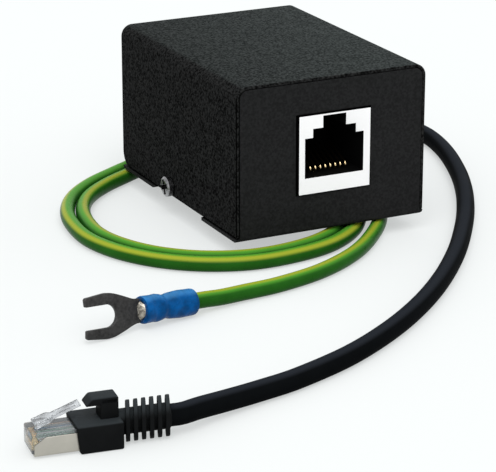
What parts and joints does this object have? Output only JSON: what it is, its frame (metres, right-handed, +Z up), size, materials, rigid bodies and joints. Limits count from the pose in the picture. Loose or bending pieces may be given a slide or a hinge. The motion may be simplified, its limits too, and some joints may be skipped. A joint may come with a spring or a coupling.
{
  "type": "ethernet surge protector",
  "caption": "Small folded steel box with a modular network socket in front, a patch cable with a plug from the rear and a coiled earth wire with a fork terminal.",
  "frame": {"origin": "centre of the steel box, without the cords and the grommets", "axes": "+Z up, the front panel with the socket faces -Y, the cords leave the rear panel along +Y, +X to the right seen from the front"},
  "size_m": [0.1314, 0.1416, 0.0317],
  "materials": {
    "textured_black_coat": "fine textured powder coat",
    "smooth_black_coat": "satin coat",
    "white_plastic": "satin moulded",
    "gold_plate": "bright plated",
    "screw_steel": "bright zinc",
    "bright_steel": "bright formed sheet",
    "brass": "turned",
    "tinned_metal": "dull tinned copper",
    "board_laminate": "green solder mask",
    "arrester_ceramic": "pale ceramic with metal ends",
    "black_plastic": "moulded",
    "black_soft_plastic": "satin moulded",
    "black_rubber": "matt",
    "black_sheath": "satin cable sheath",
    "green_yellow_sheath": "green sheath with a yellow stripe",
    "blue_plastic": "translucent sleeve",
    "clear_plastic": "clear moulded",
    "orange_pair": "insulated wires",
    "green_pair": "insulated wires",
    "blue_pair": "insulated wires",
    "brown_pair": "insulated wires"
  },
  "bodies": {
    "protector": {"cover": "textured_black_coat", "tray": "smooth_black_coat", "cover_screw_left": "screw_steel", "cover_screw_right": "screw_steel", "circuit_board": "board_laminate", "standoff_left": "brass", "standoff_right": "brass", "board_screw_left": "screw_steel", "board_screw_right": "screw_steel", "jack_housing": "white_plastic", "jack_contact_1": "gold_plate", "jack_contact_2": "gold_plate", "jack_contact_3": "gold_plate", "jack_contact_4": "gold_plate", "jack_contact_5": "gold_plate", "jack_contact_6": "gold_plate", "jack_contact_7": "gold_plate", "jack_contact_8": "gold_plate", "gas_arrester_1": "arrester_ceramic", "gas_arrester_2": "arrester_ceramic", "gas_arrester_3": "arrester_ceramic", "gas_arrester_4": "arrester_ceramic", "clamping_diode_1": "black_plastic", "clamping_diode_2": "black_plastic", "clamping_diode_3": "black_plastic", "clamping_diode_4": "black_plastic", "earth_stud": "screw_steel", "earth_washer": "screw_steel", "earth_nut": "screw_steel", "earth_ring_terminal": "tinned_metal", "cable_tie": "black_plastic", "wire_pair_1": "orange_pair", "wire_pair_2": "green_pair", "wire_pair_3": "blue_pair", "wire_pair_4": "brown_pair", "patch_cable": "black_sheath", "patch_cable_inner_end": "black_sheath", "cable_grommet": "black_rubber", "plug_boot": "black_soft_plastic", "plug_body": "clear_plastic", "plug_shield": "bright_steel", "plug_contact_1": "gold_plate", "plug_contact_2": "gold_plate", "plug_contact_3": "gold_plate", "plug_contact_4": "gold_plate", "plug_contact_5": "gold_plate", "plug_contact_6": "gold_plate", "plug_contact_7": "gold_plate", "plug_contact_8": "gold_plate", "earth_wire_lead": "green_yellow_sheath", "earth_wire_coil": "green_yellow_sheath", "earth_wire_tail": "green_yellow_sheath", "earth_wire_inner_end": "green_yellow_sheath", "earth_grommet": "black_rubber", "crimp_sleeve": "blue_plastic", "fork_terminal": "tinned_metal"},
    "latch": {"plug_latch": "clear_plastic"}
  },
  "joints": [
    {"name": "plug_latch_flex", "type": "hinge", "parent": "protector", "child": "latch", "pos_m": [-0.08131, -0.08572, -0.013], "axis": [0.1305, 0.9914, 0], "range_deg": [0, 9], "stiffness_Nm_per_rad": 0.05}
  ]
}
